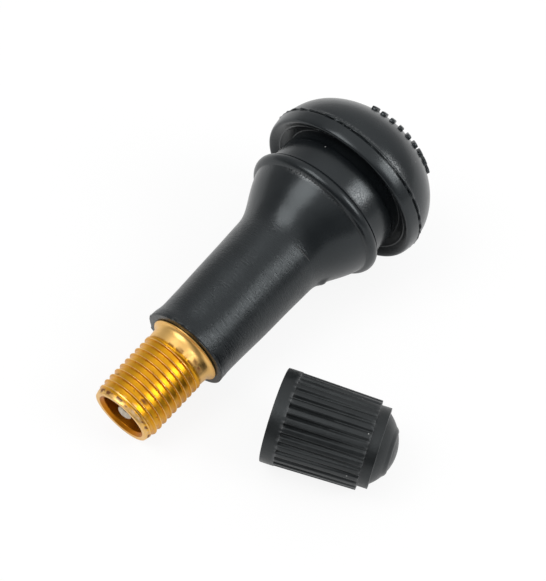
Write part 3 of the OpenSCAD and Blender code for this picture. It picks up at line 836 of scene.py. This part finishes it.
def plug_bridge():
    """Rings of the bridge: a loop from the pin's hole out to an outline whose radius is the smaller of
    its round end's and half its thickness over the sine of the turn."""
    foot = PLUG_AT + BRIDGE_L + PLUG_WEB
    turn = np.linspace(0, 2 * np.pi, PLUG_COLUMNS, endpoint=False)[None, :]
    side = BRIDGE_W / 2 / np.maximum(np.abs(np.sin(turn)), 0.05)
    reach = np.minimum(BRIDGE_R, side)
    outline = [[PLUG_AT, 0.0], [PLUG_AT, 1.0], [foot, 1.0], [foot, 0.0]]
    line = filled(eased(outline, BRIDGE_EASE), BRIDGE_ROW_STEP)
    share = line[:, 1:]
    return line[:, :1], PIN_HOLE_R + share * (reach - PIN_HOLE_R)


plug_parts = [add_turned(name, VALVE, *rings, core_brass, crease=35)
              for name, rings in (("plug_thread", plug_ring()), ("plug_bridge", plug_bridge()))]
for part in plug_parts:
    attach(part, "plug")
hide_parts("core_plug")

# Core pin
# The nickel-plated pin that runs the length of the core: a round head that shows in the mouth, a collar
# for the spring, and an end riveted over the plunger's cup.
PIN_RECESS = 0.3
PIN_HEAD_R = 0.95
PIN_HEAD_L = 0.8
PIN_ROUND = 0.42
PIN_R = 0.575
COLLAR_AT = 7.0
COLLAR_L = 0.35
COLLAR_R = 1.05
RIVET_AT = 17.28
RIVET_L = 0.4
RIVET_R = 0.85
PIN_COLUMNS = 64
PIN_EASE = 0.08
PIN_ROW_STEP = 0.3
PIN_DARK = (0.40, 0.35, 0.28, 1)
PIN_LIGHT = (0.55, 0.50, 0.42, 1)


def pin_rings():
    """Rings of the pin from the middle of its head to the middle of its riveted end."""
    end = RIVET_AT + RIVET_L
    nose = np.radians(np.linspace(1, 84, 10))
    crown = np.stack([PIN_RECESS + PIN_ROUND * (1 - np.cos(nose)), PIN_HEAD_R * np.sin(nose)], 1)
    shank = [[PIN_RECESS + PIN_HEAD_L, PIN_HEAD_R], [PIN_RECESS + PIN_HEAD_L, PIN_R], [COLLAR_AT, PIN_R],
             [COLLAR_AT, COLLAR_R], [COLLAR_AT + COLLAR_L, COLLAR_R], [COLLAR_AT + COLLAR_L, PIN_R],
             [RIVET_AT, PIN_R], [RIVET_AT, RIVET_R], [end, RIVET_R - RIVET_L / 2], [end, 0.02]]
    line = filled(eased(np.concatenate([crown, shank]), PIN_EASE, loop=False), PIN_ROW_STEP, loop=False)
    return line[:, :1], np.repeat(line[:, 1:], PIN_COLUMNS, 1)


def pin_steel():
    """Plated steel, satin and slightly warm, with small dull spots."""
    material, shader, add, wire = new_finish("pin_steel")
    mottle = noise(add, add("TexCoord").outputs["Object"], 2200.0, 4.0)
    wire("Base Color", mixed(add, share_between(add, mottle, 0.4, 0.7), PIN_DARK, PIN_LIGHT))
    wire("Roughness", share_between(add, mottle, 0.3, 0.7, 0.18, 0.32))
    shader.inputs["Metallic"].default_value = 1.0
    return material


core_pin = add_turned("valve_pin", VALVE, *pin_rings(), pin_steel(), loop=False)
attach(core_pin, "pin")
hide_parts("core_pin")

# Core spring
# The coil of drawn steel wire between the pin's collar and the barrel's floor, which closes the valve
# again when the pin is let go. The real spring shortens as the pin is pressed; here it is built at one
# length.
WIRE_R = 0.13
SPRING_AT = 7.37
SPRING_END = 14.87
SPRING_TURNS = 9
COIL_R = 0.9125
WIRE_SIDES = 12
STEPS_A_TURN = 40
WIRE_DARK = (0.50, 0.50, 0.52, 1)
WIRE_LIGHT = (0.68, 0.68, 0.70, 1)


def spring_wire():
    """A round wire along a helix: ring i sits at turn t, and its points are the wire's radius times the
    cosine of the side angle outwards and the sine of it along the axis. A point closes each end."""
    steps = STEPS_A_TURN * SPRING_TURNS + 1
    turn = np.linspace(0, 2 * np.pi * SPRING_TURNS, steps)[:, None]
    middle = np.linspace(SPRING_AT + WIRE_R, SPRING_END - WIRE_R, steps)[:, None]
    side = np.linspace(0, 2 * np.pi, WIRE_SIDES, endpoint=False)[None, :]
    rings = turned_points(VALVE, middle + WIRE_R * np.sin(side), COIL_R + WIRE_R * np.cos(side), turn)
    points = np.concatenate([rings.reshape(-1, 3), rings[[0, -1]].mean(1)])
    return points, np.concatenate([ring_faces(steps, WIRE_SIDES, False), end_fans(steps, WIRE_SIDES)])


def drawn_wire():
    """Bright drawn wire with faint streaks."""
    material, shader, add, wire = new_finish("spring_steel")
    streaks = noise(add, add("TexCoord").outputs["Object"], 5000.0, 3.0)
    wire("Base Color", mixed(add, streaks, WIRE_DARK, WIRE_LIGHT))
    wire("Roughness", share_between(add, streaks, 0.3, 0.7, 0.22, 0.38))
    shader.inputs["Metallic"].default_value = 1.0
    return material


core_spring = add_piece("return_spring", *spring_wire(), drawn_wire())
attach(core_spring, "core")
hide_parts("core_spring")
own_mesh(core_spring)

# Dust cap
# The black plastic cap that screws over the thread, moulded in one piece: a smooth rim band, a ribbed
# grip, a plain collar and a dome. It has been taken off and lies on its side by the stem.
CAP_ALONG = 10.5
CAP_BESIDE = 5.4
CAP_AZIMUTH = -68
RIM_R = 5.15
RIM_L = 1.55
RIM_BEVEL = 0.15
RIM_EDGE = 0.05
RIBS_R = 5.1
RIBS_TAPER = 0.22
RIBS_L = 8.85
RIB_COUNT = 30
VALLEY_R = 4.74
CREST_SHARE = 0.40
FLANK_SHARE = 0.30
CAP_COLLAR_R = 4.4
CAP_COLLAR_L = 1.15
CAP_DOME_R = 3.85
CAP_DOME_H = 1.85
CAP_HOLE_L = 10.2
CAP_CLEAR = 0.1
CAP_COLUMNS = RIB_COUNT * 16
CAP_EASE = 0.06
CAP_ROW_STEP = 0.3
CAP_THREAD_DEPTH = 0.15
RUBBED_W = 0.07
RUBBED_KNOTS = (150, 21)
CAP_DARK = (0.0058, 0.0066, 0.0072, 1)
CAP_LIGHT = (0.0105, 0.0118, 0.0125, 1)
CAP_RUBBED = (0.11, 0.112, 0.115, 1)
CAP_DUST = (0.4, 0.4, 0.39, 1)
CAP_SHEEN = (0.92, 0.98, 1.0, 1)
MARK_R = 2.4
MARK_W = 0.24
MARK_H = 0.12
RIBS_END = RIM_L + RIBS_L
CAP_DOME_AT = RIBS_END + CAP_COLLAR_L


def cap_axis():
    """The cap's axis as it lies: its rim and the far end of its ribs touch the surface under the valve."""
    tilt = np.arctan2(RIBS_TAPER + RIM_R - RIBS_R, RIBS_END)
    azimuth = np.radians(CAP_AZIMUTH)
    ahead = np.array([np.cos(azimuth) * np.cos(tilt), np.sin(azimuth) * np.cos(tilt), -np.sin(tilt)])
    beside = np.array([-np.sin(azimuth), np.cos(azimuth), 0.0])
    rim_along = MOUTH + INWARD * CAP_ALONG * MM
    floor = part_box("cap")[0].z
    rim_y = -(STEM_R + CAP_BESIDE + RIM_R * abs(np.cos(azimuth))) * MM
    start = np.array([rim_along[0], rim_y, floor + RIM_R * np.cos(tilt) * MM])
    return start, ahead, np.cross(beside, ahead), beside


def rib_height(turn):
    """1 on a rib's crest and 0 in its valley, with smooth flanks, each rib a little uneven in width."""
    phase = (turn / (2 * np.pi) * RIB_COUNT + 0.5) % 1.0 - 0.5
    uneven = 0.02 * np.sin(turn * 7 + 0.6) + 0.015 * np.sin(turn * 11 + 2.0)
    return 1 - smooth_step(np.abs(phase) - uneven, CREST_SHARE / 2, CREST_SHARE / 2 + FLANK_SHARE)


def cap_rings():
    """Rings of the cap from the middle of its hole's floor, out over the rim and the ribs to the dome, and
    how rubbed each point is: bell curves at the rim band's end and the ribs' end times uneven values."""
    hole_r = THREAD_R + CAP_CLEAR
    dome_round = (CAP_DOME_R ** 2 + CAP_DOME_H ** 2) / (2 * CAP_DOME_H)
    dome_centre = (CAP_DOME_AT + CAP_DOME_H - dome_round, 0)
    dome = arc(dome_centre, dome_round, np.degrees(np.arcsin(CAP_DOME_R / dome_round)), 0.4, 24)
    inside = [[CAP_HOLE_L + RIM_BEVEL, 0.05], [CAP_HOLE_L, hole_r], [RIM_BEVEL, hole_r],
              [0, hole_r + RIM_BEVEL]]
    rim = [[0, RIM_R - RIM_EDGE], [RIM_EDGE, RIM_R], [RIM_L, RIM_R], [RIM_L + 0.02, RIBS_R]]
    grip = [[RIBS_END, RIBS_R - RIBS_TAPER], [RIBS_END + 0.02, CAP_COLLAR_R], [CAP_DOME_AT, CAP_COLLAR_R]]
    outline = eased(np.concatenate([inside, rim, grip, dome]), CAP_EASE, loop=False)
    line = filled(outline, CAP_ROW_STEP, loop=False)
    along, radius = line[:, :1], line[:, 1:]
    turn = np.linspace(0, 2 * np.pi, CAP_COLUMNS, endpoint=False)[None, :]
    on_ribs = (radius > CAP_COLLAR_R) & (along > RIM_L) & (along < RIBS_END + 0.03)
    valley = np.minimum(radius, VALLEY_R)
    ribbed = np.where(on_ribs, valley + (radius - valley) * rib_height(turn), radius)
    on_dome = along > CAP_DOME_AT + 0.2
    mark = MARK_H * on_dome * np.exp(-((radius - MARK_R) / MARK_W) ** 4)
    in_hole = (radius < hole_r + 0.01) & (along > 0.8) & (along < CAP_HOLE_L - 0.6)
    thread = CAP_THREAD_DEPTH * in_hole * thread_groove(along, turn, THREAD_PITCH)
    edges = np.exp(-((along - RIM_L) / RUBBED_W) ** 2) + 0.6 * np.exp(-((along - RIBS_END) / RUBBED_W) ** 2)
    worn = smooth_step(ragged(turn, *RUBBED_KNOTS), 0.25, 0.75) * (radius > CAP_COLLAR_R - 0.05)
    return along + mark, ribbed + thread, edges * worn


def cap_plastic():
    """Matte black plastic: faint smears, a fine moulded grain, a few pale specks and rubbed pale edges."""
    material, shader, add, wire = new_finish("cap_plastic")
    place = add("TexCoord").outputs["Object"]
    smears = noise(add, place, 420.0, 5.0, 0.6)
    grain = noise(add, place, 2600.0, 5.0, 0.65)
    tone = mixed(add, share_between(add, smears, 0.3, 0.7), CAP_DARK, CAP_LIGHT)
    edge = share_between(add, painted(add, "edge"), 0.0, 1.0, 0.0, 0.8)
    rubbed = mixed(add, edge, tone, CAP_RUBBED)
    wire("Base Color", mixed(add, dust_specks(add, place, 600.0, 0.06, 0.85), rubbed, CAP_DUST))
    wire("Roughness", share_between(add, smears, 0.3, 0.7, 0.30, 0.46))
    shader.inputs["Specular IOR Level"].default_value = 0.45
    shader.inputs["Specular Tint"].default_value = CAP_SHEEN
    wire("Normal", bumped(add, grain, 0.4, 0.00005))
    return material


cap_along, cap_radius, cap_edges = cap_rings()
cap = add_turned("dust_cap", cap_axis(), cap_along, cap_radius, cap_plastic(), loop=False, crease=50)
paint(cap, "edge", np.concatenate([cap_edges.ravel(), [0.0, 0.0]]))
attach(cap, "valve")
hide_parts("cap")

# Table, light and camera
# A plain white table under soft studio light: a square soft box at the right and one overhead, in a room
# dim at the front and pale at the back and above. The camera stands where the photograph was taken from.
TABLE_HALF = 3.0
TABLE_WHITE = (0.9, 0.9, 0.9, 1)
TABLE_GLOW = 0.88
SHADOW_REACH = 0.015
ROOM_FRONT = (-0.94, -0.34, 0.0)
ROOM_DIM = 0.1
ROOM_BACK = 0.72
ROOM_TOP = 0.95
CEILING_FROM = 0.5
CEILING_TO = 0.97
LOOK_AT = Vector((-0.0098592, -0.0006888, -0.0067971))
CAMERA_AT = Vector((-0.1050089, -0.0643394, 0.1375874))
CAMERA_ROLL = 7.3026
LENS = 101.14
SENSOR_W = 36.0
CLIP = (0.01, 20.0)
# Each soft box: name, direction from the object, distance and size in metres, power in watts
SOFT_BOXES = (
    ("side_soft_box", (0.26, -0.72, 0.64), 0.8, 0.40, 2.6),
    ("top_soft_box", (-0.47, 0.30, 0.83), 0.8, 0.44, 2.4),
)


def white_table():
    """White table top: nearly pure white to the camera and in reflections. The camera sees the shadow in the
    diffuse share; a reflection also loses what the object hides of the room from each point of the table."""
    material, shader, add, _ = new_finish("white_table")
    tree = material.node_tree
    ray = add("LightPath").outputs
    mirrored = worked(add, "MAXIMUM", ray["Is Glossy Ray"], ray["Is Transmission Ray"])
    open_room = add("AmbientOcclusion", {"Distance": SHADOW_REACH}, samples=8).outputs["AO"]
    seen = worked(add, "MAXIMUM", ray["Is Camera Ray"], worked(add, "MULTIPLY", mirrored, open_room))
    top = add("BsdfDiffuse", {"Color": TABLE_WHITE}).outputs[0]
    glow = add("Emission", {"Strength": 1.0}).outputs[0]
    blend = add("MixShader", {0: worked(add, "MULTIPLY", seen, TABLE_GLOW), 1: top, 2: glow})
    tree.links.new(blend.outputs[0], tree.nodes["Material Output"].inputs["Surface"])
    tree.nodes.remove(shader)
    return material


def studio_room():
    """A plain room: its strength goes from dim at the front to pale at the back by the direction's share of
    the front, and rises smoothly towards the ceiling."""
    world = bpy.data.worlds.new("studio_room")
    world.use_nodes = True
    tree = world.node_tree
    add = node_adder(tree)
    toward = add("TexCoord").outputs["Generated"]
    ahead = add("VectorMath", {0: toward, 1: ROOM_FRONT}, operation="DOT_PRODUCT").outputs["Value"]
    wall = share_between(add, ahead, -1.0, 1.0, ROOM_BACK, ROOM_DIM)
    height = add("SeparateXYZ", {0: toward}).outputs["Z"]
    heights = {"Value": height, "From Min": CEILING_FROM, "From Max": CEILING_TO}
    rise = add("MapRange", heights, interpolation_type="SMOOTHSTEP").outputs["Result"]
    strength = add("Mix", {"Factor": rise, "A": wall, "B": ROOM_TOP}).outputs["Result"]
    background = tree.nodes["Background"]
    background.inputs["Color"].default_value = (1, 1, 1, 1)
    tree.links.new(strength, background.inputs["Strength"])
    bpy.context.scene.world = world


def soft_box(name, direction, distance, size, power):
    """Square area lamp that faces the object from a direction and a distance."""
    lamp = bpy.data.lights.new(name, "AREA")
    lamp.size = size
    lamp.energy = power
    lamp_object = bpy.data.objects.new(name, lamp)
    away = Vector(direction).normalized()
    lamp_object.location = LOOK_AT + away * distance
    lamp_object.rotation_mode = "QUATERNION"
    lamp_object.rotation_quaternion = away.to_track_quat("Z", "Y")
    bpy.context.scene.collection.objects.link(lamp_object)


floor_z = cad_box[0].z
table_corners = np.array([[-1, -1], [1, -1], [1, 1], [-1, 1]]) * TABLE_HALF
table_points = np.concatenate([table_corners, np.full((4, 1), floor_z)], 1)
table = add_piece("table", table_points, np.array([[0, 1, 2, 3]]), white_table())
studio_room()
for box in SOFT_BOXES:
    soft_box(*box)

camera = bpy.data.cameras.new("camera")
camera.lens = LENS
camera.sensor_width = SENSOR_W
camera.clip_start, camera.clip_end = CLIP
camera_object = bpy.data.objects.new("camera", camera)
camera_object.location = CAMERA_AT
camera_object.rotation_mode = "QUATERNION"
level_view = (LOOK_AT - CAMERA_AT).to_track_quat("-Z", "Y")
camera_object.rotation_quaternion = level_view @ Quaternion((0, 0, 1), np.radians(CAMERA_ROLL))
bpy.context.scene.collection.objects.link(camera_object)
bpy.context.scene.camera = camera_object
bpy.context.scene.view_settings.view_transform = "Standard"
